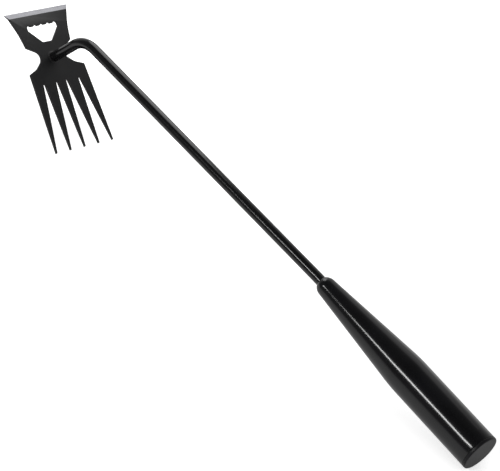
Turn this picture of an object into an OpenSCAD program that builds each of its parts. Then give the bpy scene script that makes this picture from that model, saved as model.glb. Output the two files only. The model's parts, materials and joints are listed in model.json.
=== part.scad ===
// Long-handled hand weeder: a flat steel head with a hoe blade and a five-tine fork,
// a bent round shank welded to it, and a moulded grip.
// Head frame: X runs from the cutting edge to the tine tips, Y across the blade, and Z out of the
// front face, which is at Z = 0. The finished tool is turned about Y to rest on its tines and grip.

/* [Head plate] */
// Thickness of the sheet that the head is cut from
plate_t = 2; // [1.6:0.1:3]
// Width of the cutting edge
edge_w = 61.4; // [56:0.2:74]
// Distance from the shank's axis to the cutting edge
edge_reach = 38.9; // [37:0.1:46]
// Width of the blade at its lower corners
waist_w = 43.4; // [40:0.2:50]
// Distance from the shank's axis to the blade's lower corners
waist_reach = 10.9; // [10:0.1:12]
// How far each end of the cutting edge stands out beyond the bevel's inner line
horn = 2.6; // [1:0.1:4]
// Radius of the blade's concave flanks
flank_r = 60; // [40:1:80]
// How far the flanks lean out between the lower corners and their middle
flank_lean = 2; // [1:0.1:3]
// Distance from the cutting edge to the middle of the flanks
flank_mid = 16.4; // [14:0.1:18]
// Radius of the blade's lower corners
waist_r = 1.5; // [0.5:0.1:3]
// Length of the bevel ground on the front of the cutting edge
bevel_len = 3.9; // [2:0.1:6]
// Thickness left at the cutting edge
edge_t = 0.4; // [0.2:0.1:1]

/* [Neck] */
// Radius of the round cut-out on each side of the neck
neck_r = 5.4; // [4:0.1:6]
// Half width at which the two straight sides of a cut-out would meet
neck_apex = 7.6; // [6.5:0.1:9]
// How far that point lies from the shank's axis, toward the cutting edge
neck_up = 2.9; // [2.4:0.1:3.4]
// Half width at which a cut-out's lower side bends toward the shoulder
neck_mouth = 18.3; // [17:0.1:20]
// Distance from the shank's axis to that bend
neck_rise = 6.2; // [5.6:0.1:6.8]
// Radius of that bend
neck_mouth_r = 8; // [4:0.5:10]

/* [Fork] */
// Width of the fork across its shoulders
shoulder_w = 53.3; // [50:0.1:66]
// Distance from the shank's axis to the shoulders
shoulder_reach = 9.4; // [8.6:0.1:11]
// Distance from the shank's axis to the tine tips
tine_reach = 72; // [60:1:90]
// Centre distance of neighbouring tine tips
tine_pitch = 13.95; // [12:0.05:16]
// Radius of the fork's shoulders
shoulder_r = 0.8; // [0.4:0.1:2]
// Width of each tine at its blunt tip
tip_w = 1.2; // [0.8:0.1:2]
// Distance from the shank's axis to where the two walls of a gap would meet
gap_apex = 11.3; // [10:0.1:16]
// Radius at the root of each gap
gap_r = 0.9; // [0.5:0.1:1.1]
// Offset of the inner gaps' roots from the middle of the fork
inner_gap = 4.6; // [4:0.1:5.2]
// Offset of the outer gaps' roots from the middle of the fork
outer_gap = 16.6; // [15.6:0.1:17.6]

/* [Window] */
// Width of the window at its wide end
window_w = 29; // [24:0.2:32]
// Width of the window at its narrow end
window_foot_w = 9.4; // [6:0.2:14]
// Distance from the shank's axis to the window's scalloped edge
window_far = 26.4; // [24:0.1:28]
// Distance from the shank's axis to the window's narrow end
window_near = 13.1; // [12:0.1:15]
// Radius of the scallops along the wide end
scallop_r = 2; // [1.6:0.1:2.6]
// Centre distance of neighbouring scallops
scallop_pitch = 6.3; // [5.6:0.1:6.6]
// Depth of the scallops beyond the window's edge
scallop_depth = 1; // [0.6:0.1:1.6]
// Radius of the corners at the window's narrow end
window_r = 2.5; // [1:0.1:3]

/* [Shank] */
// Diameter of the round bar
shank_d = 8; // [6:0.1:9.6]
// Height of the bend's corner above the front face, to the bar's axis
foot_h = 41; // [34:1:60]
// Radius of the bend, to the bar's axis
bend_r = 24; // [16:1:30]
// Angle that the bar turns through at the bend
bend_angle = 57; // [45:1:65]
// Length from the bend's corner to the mouth of the grip
shank_len = 275; // [180:1:400]
// Small angle at which the grip is set to the bar
set_angle = 2; // [1:0.5:6]
// Length of the bar inside the grip
tang_len = 78; // [76:1:90]
// Swelling of the bar's radius where it is bent
bend_swell = 0.02; // [0.02:0.01:0.04]
// Leg of the weld fillet around the foot
weld_leg = 1.4; // [1:0.1:3]

/* [Grip] */
// Length of the grip with its end cap
grip_len = 164; // [140:1:220]
// Diameter of the straight rear part
grip_d = 28; // [26:0.1:34]
// Diameter of the taper behind the rounded nose
nose_d = 14.2; // [13:0.1:17]
// Length of the rounded nose
nose_len = 6; // [4:0.5:9]
// Distance from the mouth to where the taper meets the straight part
taper_len = 88; // [82:1:95]
// Length over which the taper blends into the straight part
blend_len = 12; // [6:1:16]
// Thickness of the end cap's rim
cap_t = 2.2; // [1.6:0.1:4]
// Radius of the end cap's outer edge
cap_edge_r = 1; // [0.5:0.1:1.5]
// Diameter of the hollow behind the tang's socket
hollow_d = 20; // [16:0.5:21]
// Length of the socket that holds the tang
socket_len = 72; // [60:1:74]
// Length of the end cap's spigot
spigot_len = 12; // [8:1:20]
// Wall of the end cap's spigot
spigot_wall = 2; // [1.5:0.1:3]
// Diameter of the push-on washer that keeps the tang in
washer_d = 16; // [13:0.5:18]
// Thickness of the push-on washer
washer_t = 1; // [0.6:0.1:1.6]

/* [Fits] */
// Radial clearance of the tang in the socket and of the spigot in the hollow
socket_clear = 0.05; // [0.02:0.01:0.15]
// Gap that shows as a fine line between the end cap and the grip
seam_gap = 0.15; // [0.05:0.05:0.3]

/* [Hidden] */
$fn = 64;
shank_r = shank_d / 2;
grip_r = grip_d / 2;
arc_steps = 8;
// Thickness of the weld fillet at its two toes
weld_toe = 0.15;
// An overlap for cuts that run past a face
over = 1;
// Radius where the flanks turn out into the cutting edge's ends
horn_r = 3;
// Places of the scallops
scallop_x = -window_far + scallop_r - scallop_depth;
scallops = [-2 : 2];
// Where the taper starts to bend into the straight part, and its slope
blend_start = taper_len - blend_len / 2;
blend_end = taper_len + blend_len / 2;
taper_slope = (grip_d - nose_d) / 2 / (taper_len - nose_len);
blend_arc_r = blend_len / sin(atan(taper_slope));
// Radius of the grip's mouth, just outside the bar
mouth_r = shank_r + 0.4;
// Slits of the push-on washer
slit_w = 0.8;
slit_len = 1.8;
slits = 6;
sleeve_len = grip_len - cap_t - seam_gap;
// How far the straight runs of the bar reach into its bends
lap = 0.5;
// Straight runs of the bar between its two bends
set_r = 60;
set_ahead = 4;
bend_cut = bend_r * tan(bend_angle / 2);
set_cut = set_r * tan(set_angle / 2);
foot_run = foot_h - bend_cut;
long_run = shank_len - set_ahead - bend_cut - set_cut;
tang_run = set_ahead - set_cut + tang_len;
tang_chamfer = 1;
grip_angle = bend_angle + set_angle;
// Place of the grip's mouth in the head frame
corner_x = (shank_len - set_ahead) * sin(bend_angle);
corner_z = foot_h + (shank_len - set_ahead) * cos(bend_angle);
mouth_x = corner_x + set_ahead * sin(grip_angle);
mouth_z = corner_z + set_ahead * cos(grip_angle);
// Centre of the rounded rim's section, on the side that faces the ground
rim_s = grip_len - cap_edge_r;
rim_r = grip_r - cap_edge_r;
low_x = mouth_x + rim_s * sin(grip_angle) + rim_r * cos(grip_angle);
low_z = mouth_z + rim_s * cos(grip_angle) - rim_r * sin(grip_angle);
high_x = mouth_x + rim_s * sin(grip_angle) - rim_r * cos(grip_angle);
high_z = mouth_z + rim_s * cos(grip_angle) + rim_r * sin(grip_angle);
// Turn about Y that sets the backs of the tine tips and the grip's rim on the ground
reach = norm([low_x - tine_reach, low_z + plate_t]);
lean = atan2(low_z + plate_t, low_x - tine_reach) - asin(cap_edge_r / reach);
lift = tine_reach * sin(lean) + plate_t * cos(lean);
// The X ends of the tool at rest: the back of the cutting edge and the grip's upper rim
near_x = -edge_reach * cos(lean) - plate_t * sin(lean);
far_x = max(high_x * cos(lean) + high_z * sin(lean), low_x * cos(lean) + low_z * sin(lean)) + cap_edge_r;

// Unit vector from p to q
function toward(p, q) = (q - p) / norm(q - p);

// Points of the arc of radius r that rounds the corner at b between a and c
function corner_arc(a, b, c, r) =
    let (u = toward(b, a), v = toward(b, c))
    let (half = acos(u * v) / 2)
    let (middle = b + (u + v) / norm(u + v) * r / sin(half))
    let (p = b + u * r / tan(half), q = b + v * r / tan(half))
    let (a0 = atan2(p[1] - middle[1], p[0] - middle[0]))
    let (turn = atan2(q[1] - middle[1], q[0] - middle[0]) - a0)
    let (sweep = turn > 180 ? turn - 360 : turn < -180 ? turn + 360 : turn)
    [for (i = [0 : arc_steps])
        middle + r * [cos(a0 + sweep * i / arc_steps), sin(a0 + sweep * i / arc_steps)]];

// Outline through corners [x, y, radius]; a corner of radius 0 stays sharp
function rounded(corners) =
    let (n = len(corners))
    [for (i = [0 : n - 1])
        let (before = corners[(i + n - 1) % n], here = corners[i], after = corners[(i + 1) % n])
        each here[2] == 0
            ? [[here[0], here[1]]]
            : corner_arc([before[0], before[1]], [here[0], here[1]], [after[0], after[1]], here[2])];

// Corners of one half, from the cutting edge to the middle tine, mirrored for the other half
function both_halves(half) =
    concat(half, [for (i = [len(half) - 1 : -1 : 0]) [half[i][0], -half[i][1], half[i][2]]]);

// The two corners of tine number i at its tip
function tine_end(i) = [
    [tine_reach, i * tine_pitch + tip_w / 2, 0],
    [tine_reach, i * tine_pitch - tip_w / 2, 0]];

head_half = concat(
    [[-edge_reach, edge_w / 2, 0],
     [-edge_reach + bevel_len, edge_w / 2 - horn, horn_r],
     [-edge_reach + flank_mid, waist_w / 2 + flank_lean, flank_r],
     [-waist_reach, waist_w / 2, waist_r],
     [-neck_up, neck_apex, neck_r],
     [neck_rise, neck_mouth, neck_mouth_r],
     [shoulder_reach, shoulder_w / 2, shoulder_r]],
    tine_end(2),
    [[gap_apex, outer_gap, gap_r]],
    tine_end(1),
    [[gap_apex, inner_gap, gap_r]],
    [[tine_reach, tip_w / 2, 0]]);

// Cut taken off the window's two corners by the blade
window_side = 1.5;
window_half = [
    [-window_far, window_w / 2 - window_side, 0],
    [-window_far + window_side, window_w / 2, 0],
    [-window_far + 2 * window_side, window_w / 2, 1.2],
    [-window_near, window_foot_w / 2, window_r]];

// Section of the bar's bend: from the origin along +Z, turning toward +X
module bar_bend(radius, angle) {
    translate([radius, 0, 0])
        rotate([90, 0, 0])
            rotate([0, 0, 180 - angle])
                rotate_extrude(angle = angle)
                    translate([radius, 0])
                        circle(r = shank_r + bend_swell);
}

// Moves what follows to the far end of such a bend
module after_bend(radius, angle) {
    translate([radius * (1 - cos(angle)), 0, radius * sin(angle)])
        rotate([0, angle, 0])
            children();
}

// Turns the tool to rest on the ground, centred on the origin
module at_rest() {
    translate([-(near_x + far_x) / 2, 0, lift])
        rotate([0, lean, 0])
            children();
}

// Places what is drawn along +Z at the mouth of the grip
module in_grip() {
    at_rest()
        translate([mouth_x, 0, mouth_z])
            rotate([0, grip_angle, 0])
                children();
}

// Triangle of steel that grinding takes off the front of the cutting edge
module bevel_cut() {
    translate([0, edge_w / 2 + over, 0])
        rotate([90, 0, 0])
            linear_extrude(edge_w + 2 * over)
                polygon([
                    [-edge_reach + bevel_len, 0],
                    [-edge_reach, edge_t - plate_t],
                    [-edge_reach - over, edge_t - plate_t],
                    [-edge_reach - over, over],
                    [-edge_reach + bevel_len, over]]);
}

module head_plate() {
    color("#2b2b2d")
        at_rest()
            difference() {
                translate([0, 0, -plate_t])
                    linear_extrude(plate_t)
                        difference() {
                            polygon(rounded(both_halves(head_half)));
                            polygon(rounded(both_halves(window_half)));
                            for (i = scallops)
                                translate([scallop_x, i * scallop_pitch])
                                    circle(r = scallop_r);
                        }
                bevel_cut();
            }
}

// Concave weld fillet between the front face and the bar's foot
module foot_weld() {
    color("#1d1d1f")
        at_rest()
            rotate_extrude()
                difference() {
                    translate([shank_r, 0])
                        square(weld_leg);
                    translate([shank_r + weld_leg, weld_leg])
                        circle(r = weld_leg - weld_toe);
                }
}

module shank() {
    color("#1c1c1e")
        at_rest()
            union() {
                cylinder(r = shank_r, h = foot_run + lap);
                translate([0, 0, foot_run]) {
                    bar_bend(bend_r, bend_angle);
                    after_bend(bend_r, bend_angle) {
                        translate([0, 0, -lap])
                            cylinder(r = shank_r, h = long_run + 2 * lap);
                        translate([0, 0, long_run]) {
                            bar_bend(set_r, set_angle);
                            after_bend(set_r, set_angle)
                                tang();
                        }
                    }
                }
            }
}

// The end of the bar that the grip covers, with a chamfer that starts the washer
module tang() {
    translate([0, 0, -lap])
        rotate_extrude()
            polygon([
                [0, 0],
                [shank_r, 0],
                [shank_r, lap + tang_run - tang_chamfer],
                [shank_r - tang_chamfer, lap + tang_run],
                [0, lap + tang_run]]);
}

// Radius of the grip at distance s from its mouth
function nose_radius(s) = mouth_r + (nose_d / 2 - mouth_r) * sin(90 * pow(s / nose_len, 0.75));

function blend_radius(s) = grip_r - blend_arc_r + sqrt(pow(blend_arc_r, 2) - pow(blend_end - s, 2));

module grip_profile() {
    polygon(concat(
        [[0, 0]],
        [for (i = [0 : arc_steps]) [nose_radius(nose_len * i / arc_steps), nose_len * i / arc_steps]],
        [for (i = [0 : arc_steps])
            [blend_radius(blend_start + blend_len * i / arc_steps), blend_start + blend_len * i / arc_steps]],
        [[grip_r, sleeve_len], [0, sleeve_len]]));
}

module grip_sleeve() {
    color("#161618")
        in_grip()
            difference() {
                rotate_extrude()
                    grip_profile();
                translate([0, 0, -over])
                    cylinder(r = shank_r + socket_clear, h = socket_len + 2 * over);
                translate([0, 0, socket_len])
                    cylinder(d = hollow_d, h = grip_len);
            }
}

// Push-on washer: slits around its bore leave springy teeth that bite on the tang
module tang_washer() {
    color("#8b8d90")
        in_grip()
            translate([0, 0, socket_len])
                difference() {
                    cylinder(d = washer_d, h = washer_t);
                    translate([0, 0, -over])
                        cylinder(r = shank_r, h = washer_t + 2 * over);
                    for (i = [1 : slits])
                        rotate([0, 0, 360 * i / slits])
                            translate([shank_r - over, -slit_w / 2, -over])
                                cube([over + slit_len, slit_w, washer_t + 2 * over]);
                }
}

module grip_end_cap() {
    color("#161618")
        in_grip()
            rotate_extrude()
                difference() {
                    union() {
                        translate([0, grip_len - cap_t])
                            square([grip_r - cap_edge_r, cap_t]);
                        translate([0, grip_len - cap_t])
                            square([grip_r, cap_t - cap_edge_r]);
                        translate([grip_r - cap_edge_r, grip_len - cap_edge_r])
                            circle(r = cap_edge_r);
                        translate([0, grip_len - cap_t - spigot_len])
                            square([hollow_d / 2 - socket_clear, spigot_len + cap_t / 2]);
                    }
                    translate([-over, -over])
                        square([over, grip_len + 2 * over]);
                    translate([-over, grip_len - cap_t - spigot_len - over])
                        square([hollow_d / 2 - socket_clear - spigot_wall + over, spigot_len + over]);
                }
}

head_plate();
foot_weld();
shank();
grip_sleeve();
tang_washer();
grip_end_cap();
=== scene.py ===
import json
import logging
import math
from dataclasses import dataclass, field
from enum import Enum
from typing import Callable, Sequence

import bmesh
import bpy
from mathutils import Matrix, Vector


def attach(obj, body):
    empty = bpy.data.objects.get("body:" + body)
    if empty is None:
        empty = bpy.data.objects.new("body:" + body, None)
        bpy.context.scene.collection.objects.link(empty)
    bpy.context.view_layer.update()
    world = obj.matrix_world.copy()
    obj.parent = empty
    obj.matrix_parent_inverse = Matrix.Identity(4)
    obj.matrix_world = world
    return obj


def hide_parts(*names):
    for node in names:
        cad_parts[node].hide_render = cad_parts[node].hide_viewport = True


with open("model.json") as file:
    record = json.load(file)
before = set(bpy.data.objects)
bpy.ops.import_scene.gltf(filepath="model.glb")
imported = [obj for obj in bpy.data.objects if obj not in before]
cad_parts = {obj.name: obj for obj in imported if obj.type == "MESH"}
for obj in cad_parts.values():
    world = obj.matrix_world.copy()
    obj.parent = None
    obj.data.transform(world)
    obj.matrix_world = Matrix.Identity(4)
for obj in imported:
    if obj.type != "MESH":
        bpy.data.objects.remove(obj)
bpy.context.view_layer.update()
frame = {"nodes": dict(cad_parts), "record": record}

MM = 0.001
BODY = "root"
LOG = logging.getLogger("weeder")
Corner = tuple[float, float, float]
Point = tuple[float, float]


class Slot(Enum):
    """The record's material slots."""

    HEAD = "head_coating"
    WELD = "weld_coating"
    SHANK = "shank_coating"
    GRIP = "grip_plastic"
    CAP = "cap_plastic"
    WASHER = "washer_steel"


class Shading(Enum):
    """How a mesh's faces are shaded."""

    ROUND = 50.0
    CRISP = 28.0


# --- Colours and nodes ---------------------------------------------------------------------------


def linear(hex_colour: str) -> tuple[float, float, float, float]:
    """Turn an sRGB hex colour into the linear colour that shaders take.

    Args:
        hex_colour: A colour such as "#2b2b2d".

    Returns:
        Linear red, green, blue and an alpha of 1.
    """
    shares = [int(hex_colour[i:i + 2], 16) / 255 for i in (1, 3, 5)]
    red, green, blue = [s / 12.92 if s <= 0.04045 else ((s + 0.055) / 1.055) ** 2.4 for s in shares]
    return red, green, blue, 1.0


def per_mm(size_mm: float) -> float:
    """Return the texture scale, per metre, at which one feature is size_mm across."""
    return 1.0 / (size_mm * MM)


def add_node(tree: bpy.types.NodeTree, kind: str, inputs: dict | None = None,
             **settings: object) -> bpy.types.Node:
    """Add a node, set its properties, and fill or link its inputs.

    Args:
        tree: The node tree that takes the node.
        kind: The node's type name.
        inputs: Input name or index to a value, or to the output socket that feeds it.
        **settings: Properties of the node itself.

    Returns:
        The new node.
    """
    node = tree.nodes.new(kind)
    for name, value in settings.items():
        setattr(node, name, value)
    for key, value in (inputs or {}).items():
        if isinstance(value, bpy.types.NodeSocket):
            tree.links.new(value, node.inputs[key])
        else:
            node.inputs[key].default_value = value
    return node


def empty_material(name: str) -> tuple[bpy.types.Material, bpy.types.NodeTree]:
    """Make a material with no nodes in it.

    Args:
        name: The material's name.

    Returns:
        The material and its node tree.
    """
    material = bpy.data.materials.new(name)
    material.use_nodes = True
    material.node_tree.nodes.clear()
    return material, material.node_tree


def stretched_place(tree: bpy.types.NodeTree, scale: Sequence[float]) -> bpy.types.NodeSocket:
    """Return object coordinates, stretched by a scale along each axis.

    Args:
        tree: The material's node tree.
        scale: Factors along X, Y and Z.

    Returns:
        The vector socket to feed a texture with.
    """
    place = add_node(tree, "ShaderNodeTexCoord").outputs["Object"]
    return add_node(tree, "ShaderNodeMapping", {"Vector": place, "Scale": tuple(scale)}).outputs["Vector"]


def noise(tree: bpy.types.NodeTree, place: bpy.types.NodeSocket, scale: float,
          detail: float) -> bpy.types.NodeSocket:
    """Add a noise texture.

    Args:
        tree: The material's node tree.
        place: The coordinates that it takes.
        scale: Features per unit of those coordinates.
        detail: How many finer layers it adds.

    Returns:
        The socket with the noise's value.
    """
    inputs = {"Vector": place, "Scale": scale, "Detail": detail}
    return add_node(tree, "ShaderNodeTexNoise", inputs).outputs["Fac"]


def spread(tree: bpy.types.NodeTree, factor: bpy.types.NodeSocket, low: float,
           high: float) -> bpy.types.NodeSocket:
    """Map a texture's 0.3 to 0.7, where most of its values lie, to low and high.

    Args:
        tree: The material's node tree.
        factor: The texture's output.
        low: Result at 0.3.
        high: Result at 0.7.

    Returns:
        The socket with the mapped value.
    """
    levels = {"Value": factor, "From Min": 0.3, "From Max": 0.7, "To Min": low, "To Max": high}
    return add_node(tree, "ShaderNodeMapRange", levels).outputs["Result"]


# --- Finishes ------------------------------------------------------------------------------------


@dataclass(frozen=True)
class Coating:
    """A black skin: paint, baked powder or moulded plastic, each with a fine unevenness of its own."""

    name: str
    colour: str
    pale_colour: str
    roughness: float
    roughness_spread: float
    peel_mm: float
    peel_height_mm: float
    grain_mm: float
    grain_height_mm: float
    specular: float = 0.5
    ior: float = 1.5
    cloud_mm: float = 24.0

    def make(self) -> bpy.types.Material:
        """Build the coating's material.

        Returns:
            The material.
        """
        material, tree = empty_material(self.name)
        place = stretched_place(tree, (1, 1, 1))
        cloud = noise(tree, place, per_mm(self.cloud_mm), 3.0)
        peel = noise(tree, place, per_mm(self.peel_mm), 1.0)
        grain = noise(tree, place, per_mm(self.grain_mm), 2.0)
        tint = add_node(tree, "ShaderNodeMix", {
            "Factor": spread(tree, cloud, 0.0, 1.0),
            "A": linear(self.colour),
            "B": linear(self.pale_colour),
        }, data_type="RGBA")
        smooth = self.roughness - self.roughness_spread
        rough = self.roughness + self.roughness_spread
        gloss = spread(tree, grain, smooth, rough)
        waves = add_node(tree, "ShaderNodeBump", {
            "Height": peel, "Distance": self.peel_height_mm * MM, "Strength": 1.0})
        relief = add_node(tree, "ShaderNodeBump", {
            "Height": grain, "Distance": self.grain_height_mm * MM, "Strength": 1.0,
            "Normal": waves.outputs["Normal"]})
        shader = add_node(tree, "ShaderNodeBsdfPrincipled", {
            "Base Color": tint.outputs["Result"],
            "Roughness": gloss,
            "IOR": self.ior,
            "Specular IOR Level": self.specular,
            "Normal": relief.outputs["Normal"],
        })
        add_node(tree, "ShaderNodeOutputMaterial", {"Surface": shader.outputs["BSDF"]})
        return material


@dataclass(frozen=True)
class GroundSteel:
    """Bare steel off a belt grinder: bright, with fine scratches that run along the cutting edge."""

    name: str
    colour: str
    dark_colour: str
    roughness: float
    scratch_mm: float
    scratch_run_mm: float
    scratch_height_mm: float
    smear_mm: float = 3.0
    smear_run_mm: float = 9.0

    def make(self) -> bpy.types.Material:
        """Build the ground steel's material.

        Returns:
            The material.
        """
        material, tree = empty_material(self.name)
        across = per_mm(self.scratch_mm)
        along = per_mm(self.scratch_run_mm)
        place = stretched_place(tree, (across, along, across))
        scratch = noise(tree, place, 1.0, 4.0)
        wide = per_mm(self.smear_mm)
        broad = stretched_place(tree, (wide, per_mm(self.smear_run_mm), wide))
        smear = noise(tree, broad, 1.0, 2.0)
        tint = add_node(tree, "ShaderNodeMix", {
            "Factor": spread(tree, scratch, 0.0, 1.0),
            "A": linear(self.dark_colour),
            "B": linear(self.colour),
        }, data_type="RGBA")
        gloss = spread(tree, smear, self.roughness - 0.06, self.roughness + 0.08)
        relief = add_node(tree, "ShaderNodeBump", {
            "Height": scratch, "Distance": self.scratch_height_mm * MM, "Strength": 1.0})
        shader = add_node(tree, "ShaderNodeBsdfPrincipled", {
            "Base Color": tint.outputs["Result"],
            "Metallic": 1.0,
            "Roughness": gloss,
            "Normal": relief.outputs["Normal"],
        })
        add_node(tree, "ShaderNodeOutputMaterial", {"Surface": shader.outputs["BSDF"]})
        return material


# Satin powder coat on sheet steel: dull black, a little uneven, with a fine pebbled skin.
HEAD_COAT = Coating(
    "black_powder_coat_satin", "#0e0e0f", "#131314", 0.40, 0.07, 1.6, 0.010, 0.7, 0.012, specular=0.28)
# Sprayed gloss enamel on round bar: deep black, with a long soft orange peel.
SHANK_COAT = Coating("black_enamel_gloss", "#0b0b0c", "#101011", 0.17, 0.03, 5.0, 0.004, 0.8, 0.0008)
# The same enamel where it lies thick over a weld bead.
WELD_COAT = Coating(
    "black_enamel_over_weld", "#0a0a0b", "#101011", 0.34, 0.06, 1.2, 0.02, 0.4, 0.004, specular=0.25)
# Polypropylene from a polished mould: glossy black, with the faint waves of a thick moulding.
GRIP_PLASTIC = Coating(
    "black_polypropylene_gloss", "#0c0c0d", "#111113", 0.14, 0.02, 14.0, 0.006, 1.0, 0.0006)
# Polypropylene from a spark-eroded mould: the same black with a soft sheen.
CAP_PLASTIC = Coating(
    "black_polypropylene_satin", "#101012", "#141416", 0.42, 0.04, 3.0, 0.003, 0.4, 0.002, specular=0.20)
# Ground carbon steel: pale grey, streaked along the edge by the grit.
EDGE_STEEL = GroundSteel("ground_carbon_steel", "#7a7a7d", "#646468", 0.25, 0.14, 14.0, 0.004)
# Rolled spring steel: grey with a light grain.
WASHER_STEEL = GroundSteel("rolled_spring_steel", "#9c9da0", "#85868a", 0.30, 0.10, 2.0, 0.002)


# --- Outlines and meshes -------------------------------------------------------------------------


def corner_arc(before: Vector, corner: Vector, after: Vector, radius: float, steps: int) -> list[Point]:
    """Round one corner of an outline.

    Args:
        before: The corner that comes before.
        corner: The corner to round.
        after: The corner that comes after.
        radius: Radius of the rounding.
        steps: Number of chords in the arc.

    Returns:
        The arc's points, in the outline's order.
    """
    to_before = (before - corner).normalized()
    to_after = (after - corner).normalized()
    half = to_before.angle(to_after) / 2
    middle = corner + (to_before + to_after).normalized() * radius / math.sin(half)
    start = corner + to_before * radius / math.tan(half) - middle
    end = corner + to_after * radius / math.tan(half) - middle
    first = math.atan2(start.y, start.x)
    sweep = math.remainder(math.atan2(end.y, end.x) - first, math.tau)
    angles = [first + sweep * i / steps for i in range(steps + 1)]
    return [(middle.x + radius * math.cos(a), middle.y + radius * math.sin(a)) for a in angles]


def rounded(corners: Sequence[Corner], steps: int = 20) -> list[Point]:
    """Turn corners with radii into a smooth closed outline.

    Args:
        corners: Each corner's x, y and radius; a radius of 0 leaves it sharp.
        steps: Number of chords in each arc.

    Returns:
        The outline's points.
    """
    points: list[Point] = []
    count = len(corners)
    for i, (x, y, radius) in enumerate(corners):
        if radius == 0:
            points.append((x, y))
            continue
        before = Vector(corners[i - 1][:2])
        after = Vector(corners[(i + 1) % count][:2])
        points += corner_arc(before, Vector((x, y)), after, radius, steps)
    return points


def mirrored(half: Sequence[Corner]) -> list[Corner]:
    """Return the corners of one half, then those of the other half in reverse order."""
    return list(half) + [(x, -y, radius) for x, y, radius in reversed(half)]


def object_from(name: str, mesh: bpy.types.Mesh, shading: Shading) -> bpy.types.Object:
    """Put a mesh in the scene, with its shading set.

    Args:
        name: The new object's name.
        mesh: The mesh.
        shading: Which edges stay sharp, by the angle between their faces.

    Returns:
        The new object.
    """
    mesh.name = name
    mesh.shade_smooth()
    mesh.set_sharp_from_angle(angle=math.radians(shading.value))
    piece = bpy.data.objects.new(name, mesh)
    bpy.context.scene.collection.objects.link(piece)
    return piece


def ring_mesh(rings: Sequence[Sequence[Vector]]) -> bpy.types.Mesh:
    """Join rings of points into a closed skin, with a flat face on each end.

    Args:
        rings: Rings of equal length, in order along the piece.

    Returns:
        The mesh.
    """
    form = bmesh.new()
    loops = [[form.verts.new(point) for point in ring] for ring in rings]
    count = len(loops[0])
    for low, high in zip(loops, loops[1:]):
        for i in range(count):
            j = (i + 1) % count
            form.faces.new((low[i], low[j], high[j], high[i]))
    form.faces.new(list(reversed(loops[0])))
    form.faces.new(loops[-1])
    bmesh.ops.recalc_face_normals(form, faces=form.faces)
    mesh = bpy.data.meshes.new("rings")
    form.to_mesh(mesh)
    form.free()
    return mesh


def turned_rings(profile: Sequence[Point], place: Matrix, sides: int,
                 ripple: Callable[[float, float], float] | None = None) -> list[list[Vector]]:
    """Turn a profile about the local Z axis.

    Args:
        profile: Radius and height of each ring, in millimetres.
        place: Where the turned piece's own frame lies.
        sides: Number of points round each ring.
        ripple: Gives what is added to the radius at an angle and a height, in millimetres.

    Returns:
        The rings of points.
    """
    rings = []
    for radius, height in profile:
        ring = []
        for i in range(sides):
            angle = math.tau * i / sides
            r = radius + (ripple(angle, height) if ripple else 0.0)
            ring.append(place @ Vector((r * math.cos(angle) * MM, r * math.sin(angle) * MM, height * MM)))
        rings.append(ring)
    return rings


def finish_piece(piece: bpy.types.Object, slot: Slot, node: str, *materials: bpy.types.Material) -> None:
    """Dress a piece, hang it on the body and hide the CAD node that it stands for.

    Args:
        piece: The piece.
        slot: The record's material slot; not used.
        node: The CAD node that it replaces.
        *materials: The piece's materials, in the order of its faces' indices.
    """
    for material in materials:
        piece.data.materials.append(material)
    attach(piece, BODY)
    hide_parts(node)
    LOG.info("%s: %d faces, stands for %s", piece.name, len(piece.data.polygons), node)


def mount(name: str) -> tuple[Vector, Vector]:
    """Return the place and the direction of one of the record's mounts.

    Args:
        name: The mount's name.

    Returns:
        Its position in metres and its axis.
    """
    found = next(m for m in frame["record"]["mounts"] if m["name"] == name)
    return Vector(found["pos_m"]), Vector(found["axis"]).normalized()


# --- Sub-assemblies ------------------------------------------------------------------------------


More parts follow.
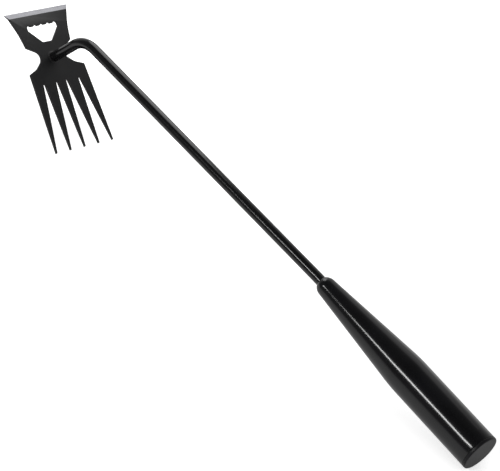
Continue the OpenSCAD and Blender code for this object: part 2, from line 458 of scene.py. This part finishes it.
@dataclass
class Head:
    """The flat steel head: hoe blade, neck and fork, with its sizes in millimetres.

    In its own frame X runs from the cutting edge to the tine tips, and Z out of the front face.
    """

    thickness: float = 2.0
    edge_w: float = 61.4
    edge_reach: float = 38.9
    bevel_len: float = 3.9
    edge_t: float = 0.4
    horn: float = 2.6
    horn_r: float = 3.0
    flank_reach: float = 16.4
    flank_lean: float = 2.0
    flank_r: float = 60.0
    waist_w: float = 43.4
    waist_reach: float = 10.9
    waist_r: float = 1.5
    neck_reach: float = 2.9
    neck_apex: float = 7.6
    neck_r: float = 5.4
    mouth_drop: float = 6.2
    mouth_apex: float = 18.3
    mouth_r: float = 8.0
    shoulder_w: float = 53.3
    shoulder_reach: float = 9.4
    shoulder_r: float = 0.8
    tine_reach: float = 72.0
    tine_pitch: float = 13.95
    tip_w: float = 0.9
    tip_r: float = 0.3
    gap_apex: float = 11.3
    gap_r: float = 0.9
    gap_offsets: tuple[float, float] = (4.6, 16.6)
    window_w: float = 29.0
    window_foot_w: float = 9.4
    window_far: float = 26.4
    window_near: float = 13.1
    scallop_r: float = 2.0
    scallop_pitch: float = 6.3
    scallop_depth: float = 1.0
    window_side_drop: float = 3.0
    window_side_r: float = 1.2
    window_foot_r: float = 2.5
    window_mount_reach: float = 21.4
    edge_round: float = 0.18
    place: Matrix = field(init=False)

    def __post_init__(self) -> None:
        """Work out where the head's frame lies from the mount in the middle of its window."""
        middle, normal = mount("hanging_window")
        along = Vector((normal.z, 0, -normal.x))
        origin = middle + along * self.window_mount_reach * MM + normal * self.thickness / 2 * MM
        turn = Matrix((along, Vector((0, 1, 0)), normal)).transposed()
        self.place = Matrix.Translation(origin) @ turn.to_4x4()

    def tine(self, number: int) -> list[Corner]:
        """Return the two corners of a tine's blunt tip.

        Args:
            number: The tine, from -2 to 2, with 0 in the middle.

        Returns:
            The corners, with the radius of each.
        """
        middle = number * self.tine_pitch
        return [
            (self.tine_reach, middle + self.tip_w / 2, self.tip_r),
            (self.tine_reach, middle - self.tip_w / 2, self.tip_r),
        ]

    def outline(self) -> list[Point]:
        """Return the plate's outer outline."""
        inner, outer = self.gap_offsets
        half = [
            (-self.edge_reach, self.edge_w / 2, 0.0),
            (-self.edge_reach + self.bevel_len, self.edge_w / 2 - self.horn, self.horn_r),
            (-self.edge_reach + self.flank_reach, self.waist_w / 2 + self.flank_lean, self.flank_r),
            (-self.waist_reach, self.waist_w / 2, self.waist_r),
            (-self.neck_reach, self.neck_apex, self.neck_r),
            (self.mouth_drop, self.mouth_apex, self.mouth_r),
            (self.shoulder_reach, self.shoulder_w / 2, self.shoulder_r),
            *self.tine(2),
            (self.gap_apex, outer, self.gap_r),
            *self.tine(1),
            (self.gap_apex, inner, self.gap_r),
            (self.tine_reach, self.tip_w / 2, self.tip_r),
        ]
        return rounded(mirrored(half))

    def window(self) -> list[Point]:
        """Return the outline of the window, with its scalloped far side."""
        middle = -self.window_far + self.scallop_r - self.scallop_depth
        reach = math.acos((self.window_far + middle) / self.scallop_r)
        points: list[Point] = []
        for number in range(-2, 3):
            first = math.pi / 2 if number == -2 else reach
            last = math.pi / 2 if number == 2 else reach
            for i in range(17):
                angle = -first + (first + last) * i / 16
                points.append((
                    middle - self.scallop_r * math.cos(angle),
                    number * self.scallop_pitch + self.scallop_r * math.sin(angle)))
        side = 2 * self.scallop_pitch + self.scallop_r
        half_foot = self.window_foot_w / 2
        corner = -self.window_far + self.window_side_drop
        lower = [
            (middle, side, 0.0),
            (corner, side, self.window_side_r),
            (-self.window_near, half_foot, self.window_foot_r),
            (-self.window_near, -half_foot, self.window_foot_r),
            (corner, -side, self.window_side_r),
            (middle, -side, 0.0),
        ]
        return points + rounded(lower)[1:-1]

    def blank(self) -> bpy.types.Mesh:
        """Cut the plate from its sheet, with the edges broken by a small radius.

        Returns:
            The mesh, in the head's own frame.
        """
        sheet = bpy.data.curves.new("head_sheet", "CURVE")
        sheet.dimensions = "2D"
        sheet.fill_mode = "BOTH"
        sheet.bevel_depth = self.edge_round * MM
        sheet.bevel_resolution = 2
        sheet.offset = -self.edge_round * MM
        sheet.extrude = (self.thickness / 2 - self.edge_round) * MM
        for points in (self.outline(), self.window()):
            spline = sheet.splines.new("POLY")
            spline.points.add(len(points) - 1)
            spline.use_cyclic_u = True
            for target, (x, y) in zip(spline.points, points):
                target.co = (x * MM, y * MM, 0, 1)
        holder = bpy.data.objects.new("head_sheet", sheet)
        bpy.context.scene.collection.objects.link(holder)
        bpy.context.view_layer.update()
        mesh = bpy.data.meshes.new_from_object(holder.evaluated_get(bpy.context.evaluated_depsgraph_get()))
        bpy.data.objects.remove(holder)
        bpy.data.curves.remove(sheet)
        mesh.transform(Matrix.Translation((0, 0, -self.thickness / 2 * MM)))
        return mesh

    def grind(self, mesh: bpy.types.Mesh) -> None:
        """Grind the bevel on the front of the cutting edge.

        Args:
            mesh: The blank; its new face takes material 1.
        """
        form = bmesh.new()
        form.from_mesh(mesh)
        bmesh.ops.remove_doubles(form, verts=form.verts, dist=1e-6)
        drop = self.thickness - self.edge_t
        tool = Vector((-drop, 0, self.bevel_len)).normalized()
        start = Vector(((-self.edge_reach + self.bevel_len) * MM, 0, 0))
        cut = bmesh.ops.bisect_plane(
            form, geom=form.verts[:] + form.edges[:] + form.faces[:], dist=1e-7,
            plane_co=start, plane_no=tool, clear_outer=True)
        rim = [e for e in cut["geom_cut"] if isinstance(e, bmesh.types.BMEdge) and e.is_boundary]
        ground = bmesh.ops.holes_fill(form, edges=rim, sides=0)["faces"]
        for face in form.faces:
            face.material_index = 0
        for face in ground:
            face.material_index = 1
        bmesh.ops.recalc_face_normals(form, faces=form.faces)
        form.to_mesh(mesh)
        form.free()

    def build(self) -> None:
        """Make the head plate and dress it in powder coat, with bare steel on the bevel."""
        mesh = self.blank()
        self.grind(mesh)
        mesh.transform(self.place)
        piece = object_from("head_blade_and_fork", mesh, Shading.CRISP)
        steady = piece.modifiers.new("flat_faces", "WEIGHTED_NORMAL")
        steady.keep_sharp = True
        finish_piece(piece, Slot.HEAD, "head_plate", HEAD_COAT.make(), EDGE_STEEL.make())


@dataclass
class Shank:
    """The bent round bar and the weld at its foot, with sizes in millimetres."""

    head: Head
    radius: float = 4.0
    foot_h: float = 41.0
    bend_r: float = 24.0
    bend: float = math.radians(57)
    length: float = 275.0
    set_r: float = 60.0
    set_angle: float = math.radians(2)
    set_ahead: float = 4.0
    hidden: float = 20.0
    degrees_a_step: float = 1.5
    weld_leg: float = 1.4
    weld_root: float = 0.3
    weld_fill: float = 0.94
    ripples: int = 17
    ripple_depth: float = 0.28
    sides: int = 64

    def stations(self) -> list[tuple[float, float, float]]:
        """List the bar's cross-sections as x, z and lean in the head's frame."""
        bend_cut = self.bend_r * math.tan(self.bend / 2)
        set_cut = self.set_r * math.tan(self.set_angle / 2)
        runs = [
            (self.foot_h - bend_cut, self.bend_r, self.bend),
            (self.length - self.set_ahead - bend_cut - set_cut, self.set_r, self.set_angle),
            (self.set_ahead - set_cut + self.hidden, 0.0, 0.0),
        ]
        x, z, lean = 0.0, 0.0, 0.0
        listed = [(x, z, lean)]
        for run, radius, turn in runs:
            x += run * math.sin(lean)
            z += run * math.cos(lean)
            listed.append((x, z, lean))
            steps = max(4, int(math.degrees(turn) / self.degrees_a_step)) if turn else 0
            for i in range(1, steps + 1):
                now = lean + turn * i / steps
                listed.append((
                    x + radius * (math.cos(lean) - math.cos(now)),
                    z + radius * (math.sin(now) - math.sin(lean)),
                    now))
            x, z, lean = listed[-1]
        return listed

    def bar(self) -> bpy.types.Mesh:
        """Sweep the bar's round section along its run.

        Returns:
            The bar's mesh.
        """
        rings = []
        for x, z, lean in self.stations():
            ring = []
            for i in range(self.sides):
                angle = math.tau * i / self.sides
                out = self.radius * math.cos(angle)
                across = self.radius * math.sin(angle)
                spot = Vector((x + out * math.cos(lean), across, z - out * math.sin(lean)))
                ring.append(self.head.place @ (spot * MM))
            rings.append(ring)
        return ring_mesh(rings)

    def weld(self) -> bpy.types.Mesh:
        """Make the weld bead: a hollow fillet with the ripples of its passes.

        Returns:
            The bead's mesh.
        """
        leg = self.weld_leg
        hollow = leg * self.weld_fill
        root = self.radius - self.weld_root
        profile = [(root, 0.02)]
        for i in range(13):
            angle = math.radians(90 * i / 12)
            profile.append((self.radius + leg - hollow * math.sin(angle), leg - hollow * math.cos(angle)))
        profile.append((root, leg))
        low = profile[1][1]

        def ripple(angle: float, height: float) -> float:
            """Move the bead's surface in or out with the ripples of the passes.

            Args:
                angle: Angle round the bar, in radians.
                height: Height above the plate, in millimetres.

            Returns:
                The move outward, in millimetres.
            """
            swell = 0.5 + 0.5 * math.sin(self.ripples * angle + 3.0 * height / leg)
            wander = 0.5 + 0.5 * math.sin(3 * angle + 0.8)
            inside = 0.0 if height < low else math.sin(math.pi * min(1.0, height / leg)) * self.ripple_depth
            return -inside * (0.7 * swell + 0.3 * wander)

        return ring_mesh(turned_rings(profile, self.head.place, 204, ripple))

    def build(self) -> None:
        """Make the bar and its weld and dress them in enamel."""
        bar = object_from("shank_bar", self.bar(), Shading.ROUND)
        finish_piece(bar, Slot.SHANK, "shank", SHANK_COAT.make())
        weld = object_from("foot_weld_bead", self.weld(), Shading.ROUND)
        finish_piece(weld, Slot.WELD, "foot_weld", WELD_COAT.make())


@dataclass
class Grip:
    """The moulded grip and its end cap, with sizes in millimetres along the grip from its mouth."""

    length: float = 164.0
    radius: float = 14.0
    mouth_r: float = 4.4
    nose_r: float = 7.1
    nose_len: float = 6.0
    taper_len: float = 88.0
    blend_len: float = 12.0
    cap_t: float = 2.2
    cap_edge_r: float = 1.0
    seam: float = 0.15
    lip: float = 1.2
    break_r: float = 0.12
    nose_power: float = 0.75
    sides: int = 160
    place: Matrix = field(init=False)

    def __post_init__(self) -> None:
        """Work out where the grip's mouth lies from the mount on its end face."""
        end, along = mount("grip_end")
        across = Vector((along.z, 0, -along.x))
        turn = Matrix((across, Vector((0, 1, 0)), along)).transposed()
        self.place = Matrix.Translation(end - along * self.length * MM) @ turn.to_4x4()

    def broken_edge(self, at: float, side: int) -> list[Point]:
        """Return the slightly rounded edge at the seam, from the side of the grip to the seam's face.

        Args:
            at: Where the seam's face lies along the grip, in millimetres.
            side: 1 if the piece lies beyond the face, -1 if it lies before it.

        Returns:
            Three points of the profile.
        """
        middle = self.break_r * (1 - math.sqrt(0.5))
        return [
            (self.radius, at + side * self.break_r),
            (self.radius - middle, at + side * middle),
            (self.radius - self.break_r, at),
        ]

    def sleeve_profile(self) -> list[Point]:
        """Return the sleeve's outer profile, from the mouth to the seam."""
        profile = [(self.mouth_r - 0.6, 0.35), (self.mouth_r - 0.3, 0.1), (self.mouth_r, 0.0)]
        for i in range(1, 25):
            s = self.nose_len * i / 24
            swell = math.sin(math.pi / 2 * (s / self.nose_len) ** self.nose_power)
            profile.append((self.mouth_r + (self.nose_r - self.mouth_r) * swell, s))
        first = self.taper_len - self.blend_len / 2
        last = self.taper_len + self.blend_len / 2
        slope = (self.radius - self.nose_r) / (self.taper_len - self.nose_len)
        arc = self.blend_len / math.sin(math.atan(slope))
        low = self.radius - arc + math.sqrt(arc ** 2 - self.blend_len ** 2)
        for i in range(1, 12):
            s = self.nose_len + (first - self.nose_len) * i / 12
            profile.append((self.nose_r + (low - self.nose_r) * i / 12, s))
        for i in range(17):
            s = first + self.blend_len * i / 16
            profile.append((self.radius - arc + math.sqrt(arc ** 2 - (last - s) ** 2), s))
        end = self.length - self.cap_t - self.seam
        profile += [(self.radius, last + (end - last) * i / 8) for i in range(1, 8)]
        profile += self.broken_edge(end, -1)
        profile.append((self.radius - self.lip, end))
        return profile

    def cap_profile(self) -> list[Point]:
        """Return the end cap's profile, from the seam to the middle of its face."""
        start = self.length - self.cap_t
        profile = [(self.radius - self.lip, start - self.seam), (self.radius - self.lip, start)]
        profile += reversed(self.broken_edge(start, 1))
        middle = self.radius - self.cap_edge_r
        for i in range(13):
            angle = math.pi / 2 * i / 12
            profile.append((
                middle + self.cap_edge_r * math.cos(angle),
                self.length - self.cap_edge_r + self.cap_edge_r * math.sin(angle)))
        profile += [(middle * share, self.length) for share in (0.8, 0.55, 0.3, 0.05)]
        return profile

    def build(self) -> None:
        """Make the sleeve and the cap and dress them in their plastics."""
        sleeve_mesh = ring_mesh(turned_rings(self.sleeve_profile(), self.place, self.sides))
        sleeve = object_from("grip_moulding", sleeve_mesh, Shading.ROUND)
        finish_piece(sleeve, Slot.GRIP, "grip_sleeve", GRIP_PLASTIC.make())
        cap_mesh = ring_mesh(turned_rings(self.cap_profile(), self.place, self.sides))
        cap = object_from("grip_cap", cap_mesh, Shading.ROUND)
        finish_piece(cap, Slot.CAP, "grip_end_cap", CAP_PLASTIC.make())


# --- Studio --------------------------------------------------------------------------------------


@dataclass(frozen=True)
class Lamp:
    """One soft lamp: a glowing panel that faces a point, with sizes in metres."""

    name: str
    place: tuple[float, float, float]
    aim: tuple[float, float, float]
    size: tuple[float, float]
    power: float

    def add(self) -> None:
        """Hang the lamp."""
        data = bpy.data.lights.new(self.name, "AREA")
        data.shape = "RECTANGLE"
        data.size, data.size_y = self.size
        data.energy = self.power
        lamp = bpy.data.objects.new(self.name, data)
        bpy.context.scene.collection.objects.link(lamp)
        lamp.location = self.place
        lamp.rotation_mode = "QUATERNION"
        lamp.rotation_quaternion = (Vector(self.aim) - Vector(self.place)).to_track_quat("-Z", "Y")


@dataclass
class Studio:
    """The plain pale floor, the soft light and the camera, with lengths in metres.

    overhead and front_wall are how bright the room looks in a reflection. near_painted_shade and
    far_painted_shade are the shares of the floor's light that a reflection loses, from fade_start to fade_end
    along Y: a painted shade on the floor, seen only in reflections and darker toward the front.
    """

    azimuth: float = 37.167
    elevation: float = 31.744
    roll: float = 17.203
    aim: tuple[float, float, float] = (0.0125, 0.0, 0.034)
    distance: float = 1.4065
    lens: float = 144.0
    floor_size: float = 60.0
    ambient: float = 0.55
    floor_colour: str = "#f2f2f2"
    floor_glow: float = 0.54
    overhead: float = 0.08
    front_wall: float = 0.10
    fade_start: float = -0.03
    fade_end: float = -0.30
    near_painted_shade: float = 0.45
    far_painted_shade: float = 0.92
    lamps: tuple[Lamp, ...] = (
        Lamp("strip_front", (-0.05, -1.25, 0.72), (-0.05, 0.0, 0.05), (1.0, 0.16), 9.5),
        Lamp("soft_back", (-0.75, 1.25, 1.45), (-0.2, 0.0, 0.05), (1.3, 0.9), 1.0),
        Lamp("soft_head", (-0.27, 0.085, 0.29), (-0.245, -0.02, 0.07), (0.26, 0.26), 0.48),
    )

    def seen_rays(self, tree: bpy.types.NodeTree) -> bpy.types.NodeSocket:
        """Return a socket that is 1 for camera, glossy and transmission rays."""
        path = add_node(tree, "ShaderNodeLightPath")
        first = add_node(tree, "ShaderNodeMath", {
            0: path.outputs["Is Camera Ray"], 1: path.outputs["Is Glossy Ray"]}, operation="MAXIMUM")
        return add_node(tree, "ShaderNodeMath", {
            0: first.outputs[0], 1: path.outputs["Is Transmission Ray"]}, operation="MAXIMUM").outputs[0]

    def add_world(self) -> None:
        """Surround the object with a white room whose reflection is dark overhead and in front."""
        world = bpy.data.worlds.new("white_room")
        bpy.context.scene.world = world
        world.use_nodes = True
        tree = world.node_tree
        tree.nodes.clear()
        path = add_node(tree, "ShaderNodeLightPath")
        heading = add_node(tree, "ShaderNodeTexCoord").outputs["Generated"]
        parts = add_node(tree, "ShaderNodeSeparateXYZ", {"Vector": heading})
        ceiling = add_node(tree, "ShaderNodeMapRange", {
            "Value": parts.outputs["Z"],
            "From Min": 0.0,
            "From Max": 0.95,
            "To Min": 1.0,
            "To Max": self.overhead,
        }).outputs["Result"]
        depth = add_node(tree, "ShaderNodeMapRange", {
            "Value": parts.outputs["Y"],
            "From Min": -0.5,
            "From Max": 0.4,
            "To Min": self.front_wall,
            "To Max": 1.0,
        }, interpolation_type="SMOOTHSTEP").outputs["Result"]
        walls = add_node(tree, "ShaderNodeMath", {0: ceiling, 1: depth}, operation="MULTIPLY").outputs[0]
        glossy = add_node(tree, "ShaderNodeMix", {
            "Factor": path.outputs["Is Glossy Ray"], "A": self.ambient, "B": walls}).outputs["Result"]
        clear = add_node(tree, "ShaderNodeMath", {
            0: path.outputs["Is Camera Ray"],
            1: path.outputs["Is Transmission Ray"],
        }, operation="MAXIMUM").outputs[0]
        strength = add_node(tree, "ShaderNodeMix", {"Factor": clear, "A": glossy, "B": 1.0}).outputs["Result"]
        glow = add_node(tree, "ShaderNodeBackground", {"Color": (1, 1, 1, 1), "Strength": strength})
        add_node(tree, "ShaderNodeOutputWorld", {"Surface": glow.outputs["Background"]})

    def add_floor(self) -> None:
        """Lay the white floor: it keeps the object's shadow, and in reflections it wears a painted shade that
        darkens toward the front.
        """
        form = bmesh.new()
        bmesh.ops.create_grid(form, x_segments=1, y_segments=1, size=self.floor_size / 2)
        mesh = bpy.data.meshes.new("floor")
        form.to_mesh(mesh)
        form.free()
        floor = bpy.data.objects.new("floor", mesh)
        bpy.context.scene.collection.objects.link(floor)
        material, tree = empty_material("white_floor")
        matt = add_node(tree, "ShaderNodeBsdfDiffuse", {"Color": linear(self.floor_colour)})
        glow = add_node(tree, "ShaderNodeEmission", {"Color": (1, 1, 1, 1), "Strength": self.floor_glow})
        lit = add_node(tree, "ShaderNodeAddShader", {0: matt.outputs["BSDF"], 1: glow.outputs["Emission"]})
        pick = add_node(tree, "ShaderNodeMixShader", {
            0: self.seen_rays(tree), 1: matt.outputs["BSDF"], 2: lit.outputs["Shader"]})
        spot = add_node(tree, "ShaderNodeTexCoord").outputs["Object"]
        across = add_node(tree, "ShaderNodeSeparateXYZ", {"Vector": spot}).outputs["Y"]
        # Painted shade: in reflections the floor loses near_painted_shade of its light at fade_start, rising
        # to far_painted_shade at fade_end toward the front.
        painted_floor_shade = add_node(tree, "ShaderNodeMapRange", {
            "Value": across,
            "From Min": self.fade_end,
            "From Max": self.fade_start,
            "To Min": self.far_painted_shade,
            "To Max": self.near_painted_shade,
        }, interpolation_type="SMOOTHSTEP").outputs["Result"]
        glossy = add_node(tree, "ShaderNodeLightPath").outputs["Is Glossy Ray"]
        painted_shade_in_reflections = add_node(tree, "ShaderNodeMath", {0: painted_floor_shade, 1: glossy}, operation="MULTIPLY").outputs[0]
        # The black mixed in here, for glossy rays only, is the painted shade on the floor.
        dark = add_node(tree, "ShaderNodeEmission", {"Color": (0, 0, 0, 1), "Strength": 0.0})
        faded = add_node(tree, "ShaderNodeMixShader", {
            0: painted_shade_in_reflections, 1: pick.outputs["Shader"], 2: dark.outputs["Emission"]})
        add_node(tree, "ShaderNodeOutputMaterial", {"Surface": faded.outputs["Shader"]})
        mesh.materials.append(material)

    def add_camera(self) -> None:
        """Set the camera at its viewing angle, turned a little about its own axis."""
        turn, rise = math.radians(self.azimuth), math.radians(self.elevation)
        back = Vector((math.sin(turn) * math.cos(rise), -math.cos(turn) * math.cos(rise), math.sin(rise)))
        data = bpy.data.cameras.new("camera")
        data.sensor_width = 36.0
        data.lens = self.lens
        camera = bpy.data.objects.new("camera", data)
        bpy.context.scene.collection.objects.link(camera)
        camera.location = Vector(self.aim) + back * self.distance
        camera.rotation_mode = "QUATERNION"
        level = (-back).to_track_quat("-Z", "Y")
        camera.rotation_quaternion = level @ Matrix.Rotation(math.radians(self.roll), 4, "Z").to_quaternion()
        bpy.context.scene.camera = camera

    def build(self) -> None:
        """Set up the camera, the room, the floor and the lamps."""
        bpy.context.scene.view_settings.view_transform = "Standard"
        self.add_camera()
        self.add_world()
        self.add_floor()
        for lamp in self.lamps:
            lamp.add()


def dress_washer() -> None:
    """Give the hidden washer inside the grip its spring steel."""
    washer = frame["nodes"]["tang_washer"]
    washer.data.materials.clear()
    washer.data.materials.append(WASHER_STEEL.make())
    LOG.info("%s: dressed in %s", washer.name, WASHER_STEEL.name)


def main() -> None:
    """Build the studio and every piece of the tool."""
    logging.basicConfig(level=logging.INFO, format="%(message)s")
    Studio().build()
    head = Head()
    head.build()
    Shank(head).build()
    Grip().build()
    dress_washer()


if __name__ == "__main__":
    main()
